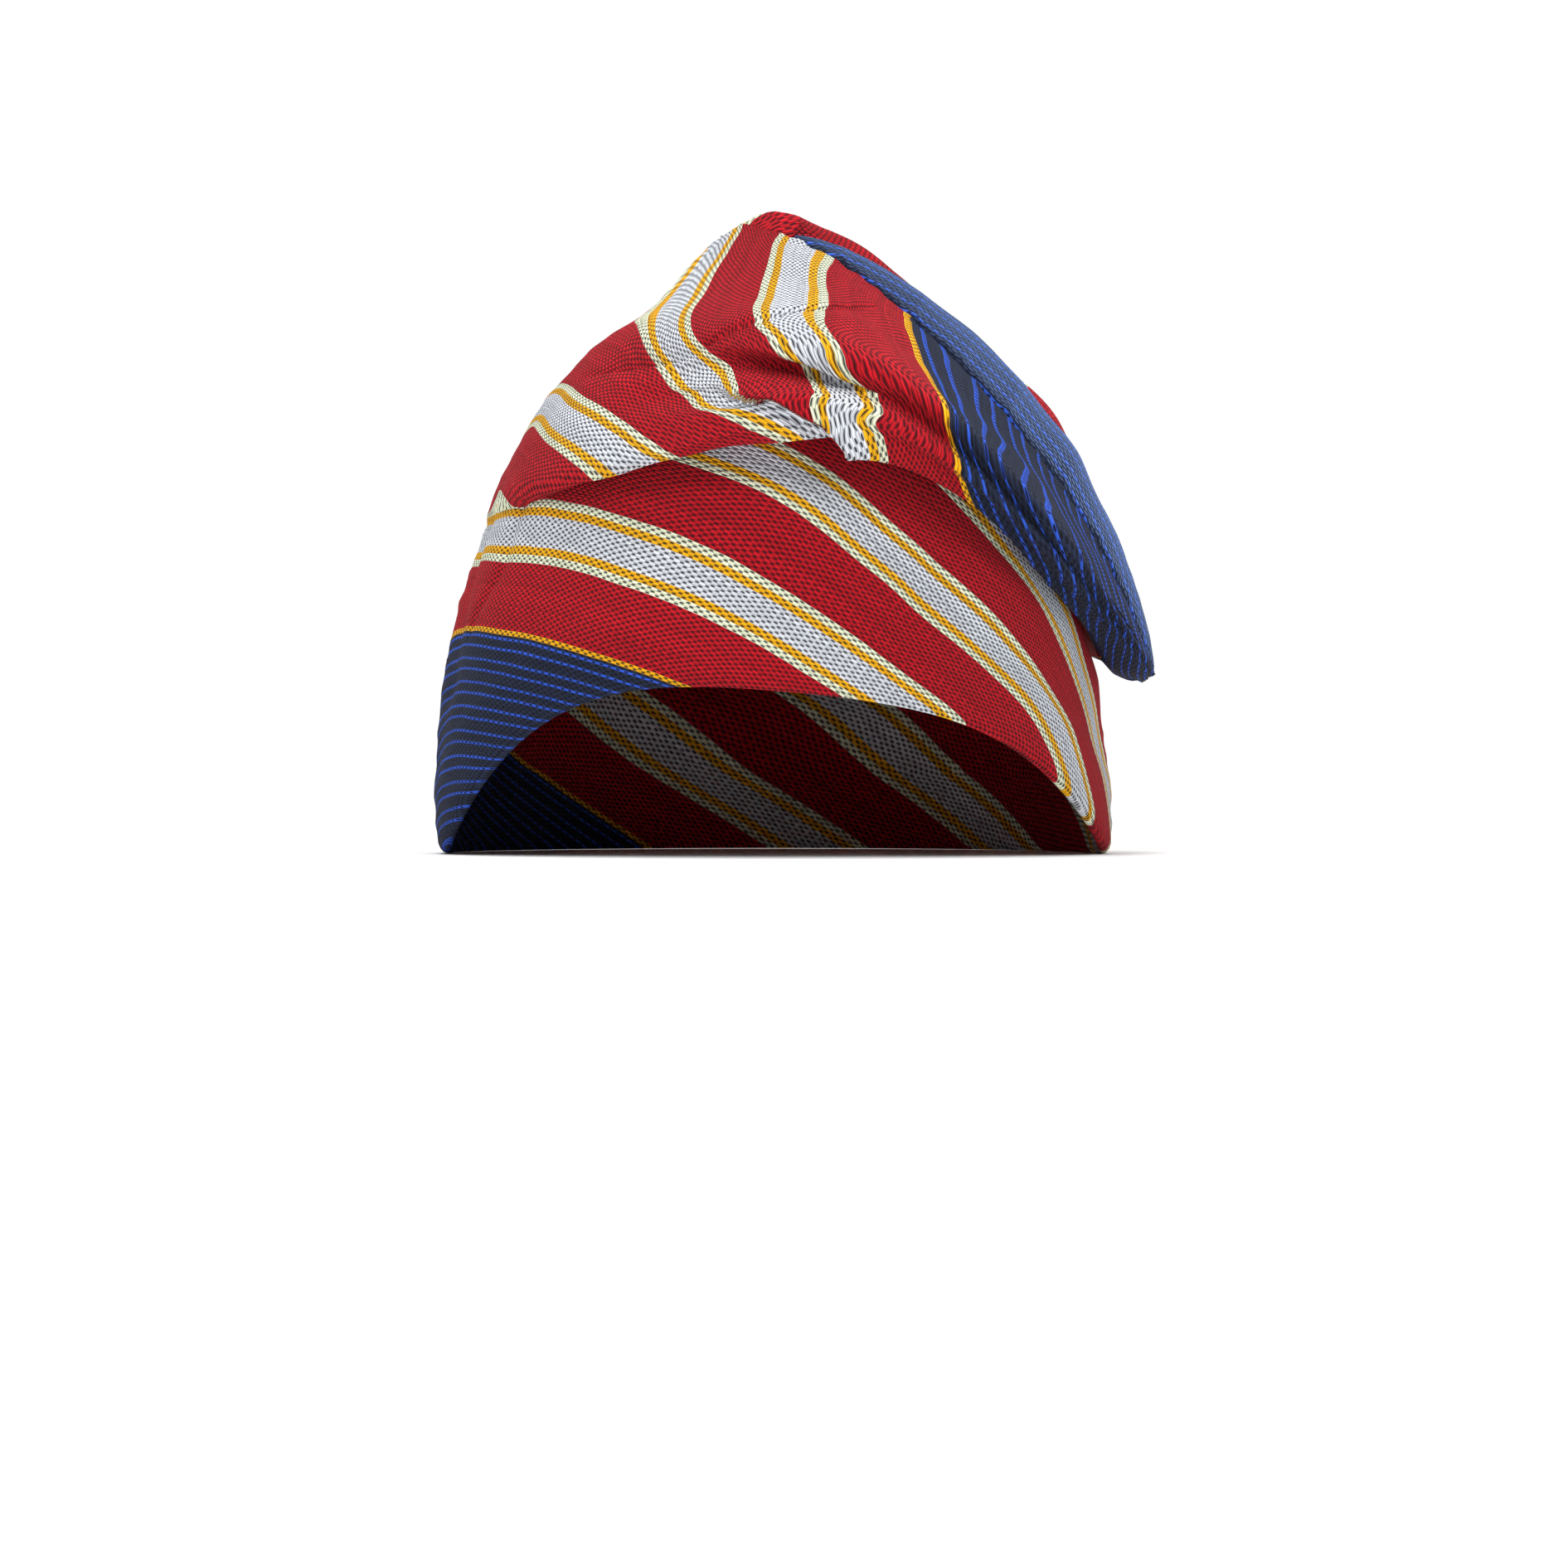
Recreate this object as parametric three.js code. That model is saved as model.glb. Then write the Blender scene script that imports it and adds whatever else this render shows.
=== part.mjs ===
// A soft aso oke fila cap in its worn form: the brow edge arches up, the crown is folded down
// over the front and its tip hangs to the wearer's left. Millimetres, +Z up, the brow faces -Y.
// The rim rests on z = 0 at the sides and the nape.
import * as THREE from "three";

// Driving dimensions
const HALF_WIDTH = 82.5; // middle to ear, at the rim
const HALF_DEPTH = 100; // middle to nape
const HEIGHT = 158; // rim to the high end of the crest
const CLOTH = 1.6; // one doubled layer of strip cloth
const HEM_CLOTH = 2.8; // with the edge turned in
const HEM_DEPTH = 22; // how far up the turned edge reaches
const SEAM_GAP = 0.4; // between two panels along a seam
const STRIP_WIDTH = 28; // crest strip, from seam to seam
const STRIP_RISE = 9; // crest strip, its top above the two seams
const STRIP_START = 0.085; // where the strip starts, as a share of the crest's length
const STRIP_BLUNT = 0.6; // how blunt the strip's ends are: 1 is a sine, lower is blunter
const CLOTH_RUN = 1.2; // cloth from hem to crest up the brow, as a share of HEIGHT
const ROUND_FACETS = 32; // from ear to ear, round the front and round the back
const STRIP_FACETS = 4; // across the crest strip

// Each row is a line round the cap, from the hem up over the folds to the crest. Level is its
// place on the cloth and facets its steps to the row above. The points at the five stations are
// shares of HALF_WIDTH (x) and HEIGHT (z), the depths shares of HALF_DEPTH. A rise lifts the
// back above the line from ear to ear, as a share of HEIGHT.
const COLUMNS = [
  "row", "level", "facets",
  "leftX", "leftZ", "leftTempleX", "leftTempleZ", "browX", "browZ",
  "rightTempleX", "rightTempleZ", "rightX", "rightZ",
  "leftY", "rightY", "frontY", "backY", "leftRise", "backRise", "rightRise",
];
const ROWS = [
  ["hem", 0, 3, -1, 0, -0.71, 0.185, 0, 0.245, 0.71, 0.155, 1, 0,
    -0.05, -0.05, 0.95, 1.05, 0, 0, 0],
  ["band low", 0.12, 3, -1.015, 0.12, -0.715, 0.28, 0.01, 0.34, 0.725, 0.25, 1, 0.11,
    -0.06, -0.05, 0.95, 1.07, 0, 0, 0],
  ["band middle", 0.25, 3, -1, 0.24, -0.695, 0.38, 0.02, 0.43, 0.725, 0.345, 0.98, 0.195,
    -0.07, -0.05, 0.94, 1.07, 0, 0.02, 0],
  ["band high", 0.38, 4, -0.95, 0.38, -0.645, 0.475, 0.03, 0.535, 0.715, 0.425, 0.965, 0.255,
    -0.08, -0.05, 0.92, 1.04, 0, 0, 0],
  ["tuck", 0.5, 2, -0.86, 0.52, -0.6, 0.553, 0.055, 0.665, 0.665, 0.56, 0.8, 0.46,
    -0.1, -0.05, 0.85, 0.97, -0.04, -0.1, -0.06],
  ["under lip", 0.53, 2, -0.855, 0.533, -0.59, 0.552, 0.06, 0.63, 0.685, 0.49, 0.985, 0.3,
    -0.1, -0.07, 0.92, 0.98, 0, 0.03, 0.05],
  ["lip", 0.55, 2, -0.85, 0.545, -0.58, 0.553, 0.065, 0.605, 0.695, 0.46, 1.02, 0.28,
    -0.1, -0.08, 0.965, 0.98, 0.02, 0.06, 0.08],
  ["over lip", 0.57, 3, -0.84, 0.56, -0.57, 0.567, 0.07, 0.628, 0.7, 0.48, 1.055, 0.272,
    -0.1, -0.09, 1.01, 0.97, 0.04, 0.09, 0.1],
  ["roll", 0.61, 3, -0.785, 0.618, -0.49, 0.628, 0.105, 0.66, 0.73, 0.468, 1.085, 0.27,
    -0.11, -0.11, 1.01, 0.93, 0.07, 0.12, 0.09],
  ["roll top", 0.69, 2, -0.675, 0.713, -0.375, 0.7, 0.175, 0.677, 0.77, 0.462, 1.11, 0.272,
    -0.13, -0.14, 0.97, 0.86, 0.1, 0.145, 0.09],
  ["crease", 0.72, 2, -0.62, 0.744, -0.34, 0.73, 0.22, 0.695, 0.805, 0.457, 1.115, 0.275,
    -0.14, -0.15, 0.89, 0.82, 0.11, 0.16, 0.09],
  ["lobe low", 0.75, 3, -0.54, 0.787, -0.265, 0.77, 0.28, 0.707, 0.84, 0.455, 1.12, 0.276,
    -0.15, -0.15, 0.91, 0.77, 0.14, 0.2, 0.1],
  ["lobe middle", 0.85, 3, -0.375, 0.842, -0.1, 0.846, 0.4, 0.722, 0.89, 0.455, 1.125, 0.277,
    -0.19, -0.16, 0.7, 0.62, 0.195, 0.27, 0.13],
  ["lobe high", 0.94, 2, -0.195, 0.94, 0.073, 0.91, 0.535, 0.718, 0.945, 0.455, 1.127, 0.279,
    -0.23, -0.16, 0.38, 0.32, 0.15, 0.15, 0.09],
  ["crest", 1, 0, -0.093, 0.976, 0.15, 0.925, 0.622, 0.71, 0.985, 0.45, 1.127, 0.28,
    -0.25, -0.16, 0.14, 0.15, 0.05, 0.08, 0.03],
].map((row) => Object.fromEntries(COLUMNS.map((name, i) => [name, row[i]])));

// Soft dents that the rows don't hold, on the front panel: from and to as the angle round the
// front in degrees and the level, with the depth and half width in millimetres.
const DENTS = [
  { name: "roll crease", from: [60, 0.69], to: [82, 0.63], depth: 2.2, reach: 6 },
  { name: "roll dimple", from: [54, 0.68], to: [64, 0.665], depth: 3, reach: 9 },
  { name: "left dart", from: [9, 0.45], to: [16, 0.25], depth: 1.6, reach: 8 },
];

const STATION = Math.PI / 4;
const LEVELS = ROWS.map((row) => row.level);

// A smooth curve through the values of one column that never swings past them.
function alongLevels(column, level) {
  const values = ROWS.map((row) => row[column]);
  const gap = LEVELS.slice(1).map((v, i) => v - LEVELS[i]);
  const slope = gap.map((h, i) => (values[i + 1] - values[i]) / h);
  const lean = values.map((_, i) => {
    if (i === 0) return slope[0];
    if (i === values.length - 1) return slope[i - 1];
    if (slope[i - 1] * slope[i] <= 0) return 0;
    const before = 2 * gap[i] + gap[i - 1];
    const after = gap[i] + 2 * gap[i - 1];
    return (before + after) / (before / slope[i - 1] + after / slope[i]);
  });
  let i = LEVELS.findIndex((v) => v > level) - 1;
  if (i < 0) i = gap.length - 1;
  const t = (level - LEVELS[i]) / gap[i];
  const near = values[i] * (1 + 2 * t) * (1 - t) ** 2 + lean[i] * gap[i] * t * (1 - t) ** 2;
  const far = values[i + 1] * (3 - 2 * t) * t ** 2 + lean[i + 1] * gap[i] * (t - 1) * t ** 2;
  return near + far;
}

// A smooth even wave through the values at the five stations of a half ring.
function alongStations(five, angle) {
  let sum = 0;
  for (let k = 0; k <= 4; k += 1) {
    let weight = 0;
    for (let j = 0; j <= 4; j += 1) {
      weight += (five[j] * Math.cos(k * j * STATION) * (j % 4 ? 1 : 0.5)) / 2;
    }
    sum += weight * Math.cos(k * angle) * (k % 4 ? 1 : 0.5);
  }
  return sum;
}

// The depth of the line from ear to ear, before it bulges to the front or back.
function earLine(angle, level) {
  const left = alongLevels("leftY", level);
  const right = alongLevels("rightY", level);
  return (left + right) / 2 - (Math.cos(angle) * (right - left)) / 2;
}

function frontPoint(angle, level) {
  const pick = (...names) => names.map((name) => alongLevels(name, level));
  const xs = pick("leftX", "leftTempleX", "browX", "rightTempleX", "rightX");
  const zs = pick("leftZ", "leftTempleZ", "browZ", "rightTempleZ", "rightZ");
  const depth = earLine(angle, level) - alongLevels("frontY", level) * Math.sin(angle);
  return new THREE.Vector3(
    alongStations(xs, angle) * HALF_WIDTH,
    depth * HALF_DEPTH,
    Math.max(0, alongStations(zs, angle) * HEIGHT),
  );
}

// How wide the crest strip is at an angle, as a share of its full width.
function stripShare(angle) {
  const along = (1 - Math.cos(angle)) / 2;
  const share = (along - STRIP_START) / (1 - STRIP_START);
  return share > 0 && share < 1 ? Math.sin(Math.PI * share) ** STRIP_BLUNT : 0;
}

// The back seam of the crest, which leaves the front seam where the strip starts.
function backCrest(angle) {
  return frontPoint(angle, 1).add(new THREE.Vector3(0, STRIP_WIDTH * stripShare(angle), 0));
}

function backRing(angle, level) {
  const at = (name) => alongLevels(name, level);
  const rises = [0, at("leftRise"), at("backRise"), at("rightRise"), 0];
  const rise = alongStations(rises, angle) * HEIGHT;
  const half = new THREE.Vector2(
    ((at("rightX") - at("leftX")) / 2) * HALF_WIDTH,
    ((at("rightZ") - at("leftZ")) / 2) * HEIGHT,
  );
  const away = new THREE.Vector2(-half.y, half.x).normalize().multiplyScalar(rise);
  const depth = earLine(angle, level) + at("backY") * Math.sin(angle);
  return new THREE.Vector3(
    ((at("leftX") + at("rightX")) / 2) * HALF_WIDTH - Math.cos(angle) * half.x + away.x,
    depth * HALF_DEPTH,
    Math.max(0, ((at("leftZ") + at("rightZ")) / 2) * HEIGHT - Math.cos(angle) * half.y + away.y),
  );
}

function backPoint(angle, level) {
  const point = backRing(angle, level);
  const start = LEVELS.at(-3);
  if (level <= start) return point;
  const share = THREE.MathUtils.smoothstep(level, start, 1);
  return point.add(backCrest(angle).sub(backRing(angle, 1)).multiplyScalar(share));
}

// One sheet round the whole cap: 0 is the left ear, pi the right ear, and past pi the back.
function skin(turn, level) {
  const angle = THREE.MathUtils.euclideanModulo(turn, 2 * Math.PI);
  return angle <= Math.PI ? frontPoint(angle, level) : backPoint(2 * Math.PI - angle, level);
}

// How deep the soft dents are at a place on the front panel, worked out on the flat cloth.
function dentDepth(turn, level) {
  const round = (Math.PI * (HALF_WIDTH + HALF_DEPTH)) / 2 / 180;
  const up = CLOTH_RUN * HEIGHT;
  const place = new THREE.Vector3(THREE.MathUtils.radToDeg(turn) * round, level * up, 0);
  let depth = 0;
  for (const dent of DENTS) {
    const from = new THREE.Vector3(dent.from[0] * round, dent.from[1] * up, 0);
    const to = new THREE.Vector3(dent.to[0] * round, dent.to[1] * up, 0);
    const near = new THREE.Line3(from, to).closestPointToPoint(place, true, new THREE.Vector3());
    depth += dent.depth * Math.exp(-((near.distanceTo(place) / dent.reach) ** 2));
  }
  return depth;
}

// Which way the inside lies from the crest seams: across the crest and towards the hollow,
// and at its two ends also away from the end. Where the strip is under two thirds of its
// width, the two sides turn together.
function underCrest(angle, side) {
  const along = frontPoint(Math.PI, 1).sub(frontPoint(0, 1)).setY(0).normalize();
  const into = new THREE.Vector3(along.z, 0, -along.x);
  into.addScaledVector(along, Math.cos(angle) ** 5);
  into.y = side * Math.min(1, stripShare(angle) / (2 / 3));
  return into.normalize();
}

// Which way the inside lies from the sheet, by its slopes round the cap and up the cloth.
function inward(turn, level) {
  const reachRound = 0.03; // radians
  const reachUp = 0.004; // levels
  const low = Math.max(0, level - reachUp);
  const high = Math.min(1, level + reachUp);
  const round = skin(turn + reachRound, level).sub(skin(turn - reachRound, level));
  const up = skin(turn, high).sub(skin(turn, low));
  return up.cross(round).normalize();
}

// The cloth's two faces at a place on a panel.
function panelFaces(front, angle, level, wall) {
  const turn = front ? angle : 2 * Math.PI - angle;
  let into = inward(turn, level);
  if (level > LEVELS.at(-2)) {
    const share = THREE.MathUtils.smoothstep(level, LEVELS.at(-2), 1);
    into.lerp(underCrest(angle, front ? 1 : -1), share).normalize();
  }
  if (level === 0) into.setZ(0).normalize();
  const side = front ? -1 : 1;
  const outer = skin(turn, level);
  if (front) outer.addScaledVector(into, dentDepth(turn, level));
  outer.y += (side * SEAM_GAP) / 2;
  const inner = outer.clone().addScaledVector(into, wall);
  // In a tight corner the inner face stops halfway to the other panel.
  const halfway = (frontPoint(angle, level).y + backPoint(angle, level).y) / 2;
  inner.y = side * Math.max(side * inner.y, side * halfway + SEAM_GAP / 2);
  return [outer, inner];
}

// The cloth's thickness: the edge turned in at the hem is doubled.
function wallAt(level) {
  return level * CLOTH_RUN * HEIGHT < HEM_DEPTH ? HEM_CLOTH : CLOTH;
}

// A closed wall over a grid of [outer, inner] points.
function wallMesh(name, grid, material) {
  const columns = grid.length;
  const rows = grid[0].length;
  const position = grid.flat(2).flatMap((p) => [p.x, p.y, p.z]);
  const at = (i, j, face) => (i * rows + j) * 2 + face;
  const index = [];
  const quad = (a, b, c, d) => index.push(a, b, c, a, c, d);
  for (let i = 0; i + 1 < columns; i += 1) {
    for (let j = 0; j + 1 < rows; j += 1) {
      quad(at(i, j, 0), at(i + 1, j, 0), at(i + 1, j + 1, 0), at(i, j + 1, 0));
      quad(at(i, j, 1), at(i, j + 1, 1), at(i + 1, j + 1, 1), at(i + 1, j, 1));
    }
    quad(at(i, 0, 0), at(i, 0, 1), at(i + 1, 0, 1), at(i + 1, 0, 0));
    quad(at(i, rows - 1, 0), at(i + 1, rows - 1, 0), at(i + 1, rows - 1, 1), at(i, rows - 1, 1));
  }
  for (let j = 0; j + 1 < rows; j += 1) {
    quad(at(0, j, 0), at(0, j + 1, 0), at(0, j + 1, 1), at(0, j, 1));
    quad(at(columns - 1, j, 0), at(columns - 1, j, 1), at(columns - 1, j + 1, 1),
      at(columns - 1, j + 1, 0));
  }
  const geometry = new THREE.BufferGeometry();
  geometry.setAttribute("position", new THREE.Float32BufferAttribute(position, 3));
  geometry.setIndex(index);
  const mesh = new THREE.Mesh(geometry, material);
  mesh.name = name;
  return mesh;
}

// The levels of the grid's lines: a few between each two rows.
function levelSteps() {
  const steps = [];
  ROWS.slice(0, -1).forEach((row, i) => {
    for (let k = 0; k < row.facets; k += 1) {
      steps.push(row.level + ((LEVELS[i + 1] - row.level) * k) / row.facets);
    }
  });
  return [...steps, 1];
}

// The angles of the grid's lines from ear to ear.
const ANGLES = Array.from({ length: ROUND_FACETS + 1 }, (_, i) => (Math.PI * i) / ROUND_FACETS);

function panel(name, front, material) {
  const angles = front ? ANGLES : ANGLES.toReversed();
  const grid = angles.map((angle) => (
    levelSteps().map((level) => panelFaces(front, angle, level, wallAt(level)))
  ));
  return wallMesh(name, grid, material);
}

const redCloth = new THREE.MeshStandardMaterial({ color: 0xb01f2a, roughness: 0.85 });
const redClothBehind = new THREE.MeshStandardMaterial({ color: 0x9c1b26, roughness: 0.85 });
const blueCloth = new THREE.MeshStandardMaterial({ color: 0x24386e, roughness: 0.85 });

// The strip sewn between the two panels along the crest.
function crestStrip() {
  const grid = [];
  for (const angle of ANGLES) {
    if (STRIP_WIDTH * stripShare(angle) < 2 * CLOTH) continue;
    const front = frontPoint(angle, 1);
    const back = backCrest(angle);
    const line = [];
    for (let k = 0; k <= STRIP_FACETS; k += 1) {
      const trim = SEAM_GAP / 2 / front.distanceTo(back);
      const share = trim + ((1 - 2 * trim) * k) / STRIP_FACETS;
      const into = underCrest(angle, 1).lerp(underCrest(angle, -1), share).normalize();
      const rise = STRIP_RISE * stripShare(angle) * Math.sin(Math.PI * share);
      const outer = front.clone().lerp(back, share);
      outer.addScaledVector(underCrest(Math.PI / 2, 0), -rise);
      line.push([outer, outer.clone().addScaledVector(into, CLOTH)]);
    }
    grid.push(line);
  }
  return wallMesh("crown_strip", grid, blueCloth);
}

const cap = new THREE.Group();
cap.add(
  panel("front_panel", true, redCloth),
  crestStrip(),
  panel("back_panel", false, redClothBehind),
);

// The origin is under the middle of the cap, on what it rests on.
const box = new THREE.Box3().setFromObject(cap);
const middle = box.getCenter(new THREE.Vector3());
cap.position.set(-middle.x, -middle.y, -box.min.z);

export default cap;
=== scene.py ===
# %% [markdown]
# # A folded cap of striped strip cloth
#
# This cap is sewn from narrow hand-woven strips. Two panels, front and back, meet at the ears
# and along a crest, where a blue strip is sewn in between them. The soft crown is pushed down
# over the brow, so that it rolls, and its far corner hangs as a tip beside one ear.
#
# The lesson builds the two panels as curved sheets, because cloth is a sheet. A primitive can't
# be folded into this form, and a simulation wouldn't land on the folds that a wearer makes by
# hand. One function gives the sheet everywhere from a short table of lines round the cap.

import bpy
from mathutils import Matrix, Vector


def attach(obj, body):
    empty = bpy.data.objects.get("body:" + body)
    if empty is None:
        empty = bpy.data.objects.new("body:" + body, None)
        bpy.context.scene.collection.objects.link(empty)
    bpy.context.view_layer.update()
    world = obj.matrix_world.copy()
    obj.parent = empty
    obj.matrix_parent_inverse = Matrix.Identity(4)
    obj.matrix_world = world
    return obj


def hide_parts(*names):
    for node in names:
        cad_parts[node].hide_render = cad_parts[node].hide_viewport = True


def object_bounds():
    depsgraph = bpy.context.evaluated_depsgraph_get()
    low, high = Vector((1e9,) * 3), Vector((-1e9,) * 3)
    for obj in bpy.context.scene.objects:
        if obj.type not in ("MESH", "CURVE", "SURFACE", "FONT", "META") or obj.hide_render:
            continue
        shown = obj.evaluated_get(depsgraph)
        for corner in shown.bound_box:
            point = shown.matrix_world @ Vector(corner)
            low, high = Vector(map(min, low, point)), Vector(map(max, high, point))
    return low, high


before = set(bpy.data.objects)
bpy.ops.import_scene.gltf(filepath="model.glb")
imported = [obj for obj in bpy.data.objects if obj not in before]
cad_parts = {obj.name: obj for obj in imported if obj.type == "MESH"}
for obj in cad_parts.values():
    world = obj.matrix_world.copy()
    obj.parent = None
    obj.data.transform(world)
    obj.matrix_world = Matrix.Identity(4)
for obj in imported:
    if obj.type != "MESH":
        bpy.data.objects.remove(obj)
cad_low, cad_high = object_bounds()
print("CAD box in metres:", [round(v, 4) for v in (*cad_low, *cad_high)])

# %% Bring in the other modules
import math

import bpy
import mathutils
import numpy as np

bpy.ops.object.select_all(action="DESELECT")
print("Blender", bpy.app.version_string)

# %% [markdown]
# ## Sizes
#
# All sizes are in millimetres, as a cap maker measures, and turn into metres only when a mesh
# is written. The panels are as wide as the head, and the crown is as high as the crest stands.

# %% Driving sizes
HALF_WIDTH = 82.5
HALF_DEPTH = 100.0
HEIGHT = 158.0
CLOTH = 1.6
HEM_CLOTH = 2.8
HEM_DEPTH = 22.0
STRIP_WIDTH = 28.0
STRIP_RISE = 9
STRIP_START = 0.085
STRIP_BLUNT = 0.6
CLOTH_RUN = 1.2
STATION = math.pi / 4
print("rim", 2 * HALF_WIDTH, "mm wide, crest", HEIGHT, "mm high")

# %% [markdown]
# ## The lines round the cap
#
# Each row of the table is a line round the cap, from the hem up over the tuck, the lip and the
# roll to the crest. Its front half has a point at five stations: the left ear, the left temple,
# the brow, the right temple and the right ear. Heights and widths are shares of the sizes above.
# A fold is three or four rows that lie close together but double back.

# %% The table of lines
COLUMNS = (
    "row", "level", "facets",
    "left_x", "left_z", "left_temple_x", "left_temple_z", "brow_x", "brow_z",
    "right_temple_x", "right_temple_z", "right_x", "right_z",
    "left_y", "right_y", "front_y", "back_y", "left_rise", "back_rise", "right_rise",
)
LINES = (
    ("hem", 0, 3, -1, 0, -0.71, 0.185, 0, 0.245, 0.71, 0.155, 1, 0,
     -0.05, -0.05, 0.95, 1.05, 0, 0, 0),
    ("band low", 0.12, 3, -1.015, 0.12, -0.715, 0.28, 0.01, 0.34, 0.725, 0.25, 1, 0.11,
     -0.06, -0.05, 0.95, 1.07, 0, 0, 0),
    ("band middle", 0.25, 3, -1, 0.24, -0.695, 0.38, 0.02, 0.43, 0.725, 0.345, 0.98, 0.195,
     -0.07, -0.05, 0.94, 1.07, 0, 0.02, 0),
    ("band high", 0.38, 4, -0.95, 0.38, -0.645, 0.475, 0.03, 0.535, 0.715, 0.425, 0.965, 0.255,
     -0.08, -0.05, 0.92, 1.04, 0, 0, 0),
    ("tuck", 0.5, 2, -0.86, 0.52, -0.6, 0.553, 0.055, 0.665, 0.665, 0.56, 0.8, 0.46,
     -0.1, -0.05, 0.85, 0.97, -0.04, -0.1, -0.06),
    ("under lip", 0.53, 2, -0.855, 0.533, -0.59, 0.552, 0.06, 0.63, 0.685, 0.49, 0.985, 0.3,
     -0.1, -0.07, 0.92, 0.98, 0, 0.03, 0.05),
    ("lip", 0.55, 2, -0.85, 0.545, -0.58, 0.553, 0.065, 0.605, 0.695, 0.46, 1.02, 0.28,
     -0.1, -0.08, 0.965, 0.98, 0.02, 0.06, 0.08),
    ("over lip", 0.57, 3, -0.84, 0.56, -0.57, 0.567, 0.07, 0.628, 0.7, 0.48, 1.055, 0.272,
     -0.1, -0.09, 1.01, 0.97, 0.04, 0.09, 0.1),
    ("roll", 0.61, 3, -0.785, 0.618, -0.49, 0.628, 0.105, 0.66, 0.73, 0.468, 1.085, 0.27,
     -0.11, -0.11, 1.01, 0.93, 0.07, 0.12, 0.09),
    ("roll top", 0.69, 2, -0.675, 0.713, -0.375, 0.7, 0.175, 0.677, 0.77, 0.462, 1.11, 0.272,
     -0.13, -0.14, 0.97, 0.86, 0.1, 0.145, 0.09),
    ("crease", 0.72, 2, -0.62, 0.744, -0.34, 0.73, 0.22, 0.695, 0.805, 0.457, 1.115, 0.275,
     -0.14, -0.15, 0.89, 0.82, 0.11, 0.16, 0.09),
    ("lobe low", 0.75, 3, -0.54, 0.787, -0.265, 0.77, 0.28, 0.707, 0.84, 0.455, 1.12, 0.276,
     -0.15, -0.15, 0.91, 0.77, 0.14, 0.2, 0.1),
    ("lobe middle", 0.85, 3, -0.375, 0.842, -0.1, 0.846, 0.4, 0.722, 0.89, 0.455, 1.125, 0.277,
     -0.19, -0.16, 0.7, 0.62, 0.195, 0.27, 0.13),
    ("lobe high", 0.94, 2, -0.195, 0.94, 0.073, 0.91, 0.535, 0.718, 0.945, 0.455, 1.127, 0.279,
     -0.23, -0.16, 0.38, 0.32, 0.15, 0.15, 0.09),
    ("crest", 1, 0, -0.093, 0.976, 0.15, 0.925, 0.622, 0.71, 0.985, 0.45, 1.127, 0.28,
     -0.25, -0.16, 0.14, 0.15, 0.05, 0.08, 0.03),
)
TABLE = {name: np.array([line[i] for line in LINES]) for i, name in enumerate(COLUMNS)}
LEVELS = TABLE["level"].astype(float)
TUCK, LIP, ROLL = LEVELS[4], LEVELS[6], LEVELS[8]
print(len(LINES), "lines from the hem to the crest")

# %% [markdown]
# ## Curves through the table
#
# Two kinds of curve fill the space between the table's points. Up the cloth, a monotone curve
# passes through each row and never swings past it, so a fold stays as deep as the table says.
# Round the cap, five cosine waves pass through the five stations and arrive level at the ears,
# where the front meets the back.

# %% Curves up the cloth and round the cap
def along_levels(values, level):
    """The smooth curve through one value for each row, at any level."""
    values = np.asarray(values, float)
    gap = np.diff(LEVELS)
    slope = np.diff(values) / gap
    lean = np.concatenate([slope[:1], np.zeros(len(values) - 2), slope[-1:]])
    same = slope[:-1] * slope[1:] > 0
    before, after = 2 * gap[1:] + gap[:-1], gap[1:] + 2 * gap[:-1]
    safe = [np.where(same, s, 1.0) for s in (slope[:-1], slope[1:])]
    mean = (before + after) / (before / safe[0] + after / safe[1])
    lean[1:-1] = np.where(same, mean, 0.0)
    level = np.clip(level, 0, 1)
    i = np.clip(np.searchsorted(LEVELS, level, side="right") - 1, 0, len(gap) - 1)
    t = (level - LEVELS[i]) / gap[i]
    near = values[i] * (1 + 2 * t) * (1 - t) ** 2 + lean[i] * gap[i] * t * (1 - t) ** 2
    far = values[i + 1] * (3 - 2 * t) * t**2 + lean[i + 1] * gap[i] * (t - 1) * t**2
    return near + far


def along_stations(five, angle):
    """The even wave through the values at the five stations of a half ring."""
    total = 0
    for k in range(5):
        weight = sum(
            five[j] * math.cos(k * j * STATION) * (1 if j % 4 else 0.5) / 2 for j in range(5)
        )
        total = total + weight * np.cos(k * angle) * (1 if k % 4 else 0.5)
    return total


def column(name, level):
    return along_levels(TABLE[name], level)


def smoothstep(value, low, high):
    t = np.clip((value - low) / (high - low), 0, 1)
    return t * t * (3 - 2 * t)


print("brow height at mid band:", round(float(column("brow_z", 0.25)) * HEIGHT, 1), "mm")

# %% [markdown]
# ## The sheet
#
# With the two curves, any place on the cloth has a point in space: an angle from ear to ear and
# a level from hem to crest go in, and x, y and z come out. The back is a ring too, raised above
# the line from ear to ear, and its top edge leaves the front's where the blue strip starts.

# %% The front and the back as functions
def stack(x, y, z):
    return np.stack(np.broadcast_arrays(x, y, z), axis=-1)


def ear_line(angle, level):
    left, right = column("left_y", level), column("right_y", level)
    return (left + right) / 2 - np.cos(angle) * (right - left) / 2


def front_point(angle, level):
    places = ("left", "left_temple", "brow", "right_temple", "right")
    xs = [column(place + "_x", level) for place in places]
    zs = [column(place + "_z", level) for place in places]
    depth = ear_line(angle, level) - column("front_y", level) * np.sin(angle)
    x = along_stations(xs, angle) * HALF_WIDTH
    z = np.maximum(0, along_stations(zs, angle) * HEIGHT)
    return stack(x, depth * HALF_DEPTH, z)


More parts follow.
